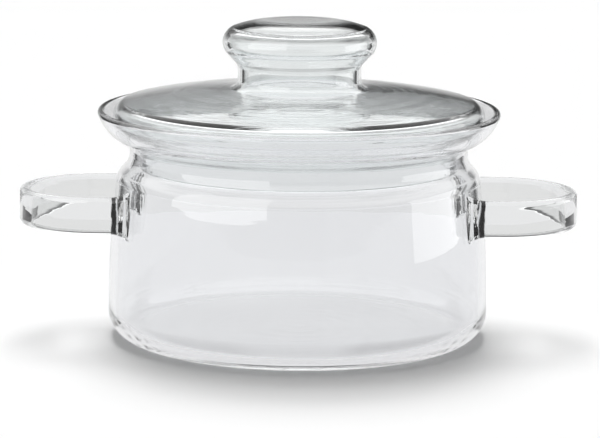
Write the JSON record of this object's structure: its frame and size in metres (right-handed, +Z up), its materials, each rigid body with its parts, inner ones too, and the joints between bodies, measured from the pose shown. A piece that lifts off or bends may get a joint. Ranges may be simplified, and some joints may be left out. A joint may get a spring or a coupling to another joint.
{
  "type": "glass cooking pot",
  "caption": "Round clear glass cooking pot with a flared rim, flat looped side handles and a domed lift-off lid with a hollow knob.",
  "frame": {"origin": "middle of the flat base, at the height of the surface that the pot stands on", "axes": "+Z up the pot's axis, +X towards the right-hand handle, -Y towards the viewer of the picture"},
  "size_m": [0.236, 0.1698, 0.1348],
  "materials": {
    "pot_glass": "clear, fire-polished",
    "handle_glass": "clear, fire-polished",
    "lid_glass": "clear, fire-polished"
  },
  "bodies": {
    "pot": {"pot_body": "pot_glass", "left_handle": "handle_glass", "right_handle": "handle_glass", "left_front_weld": "handle_glass", "left_rear_weld": "handle_glass", "right_front_weld": "handle_glass", "right_rear_weld": "handle_glass"},
    "lid": {"lid_dome": "lid_glass", "lid_collar": "lid_glass", "lid_knob": "lid_glass"}
  },
  "joints": [
    {"name": "lid_lift", "type": "slide", "parent": "pot", "child": "lid", "axis": [0, 0, 1], "range_m": [0, 0.15]}
  ]
}
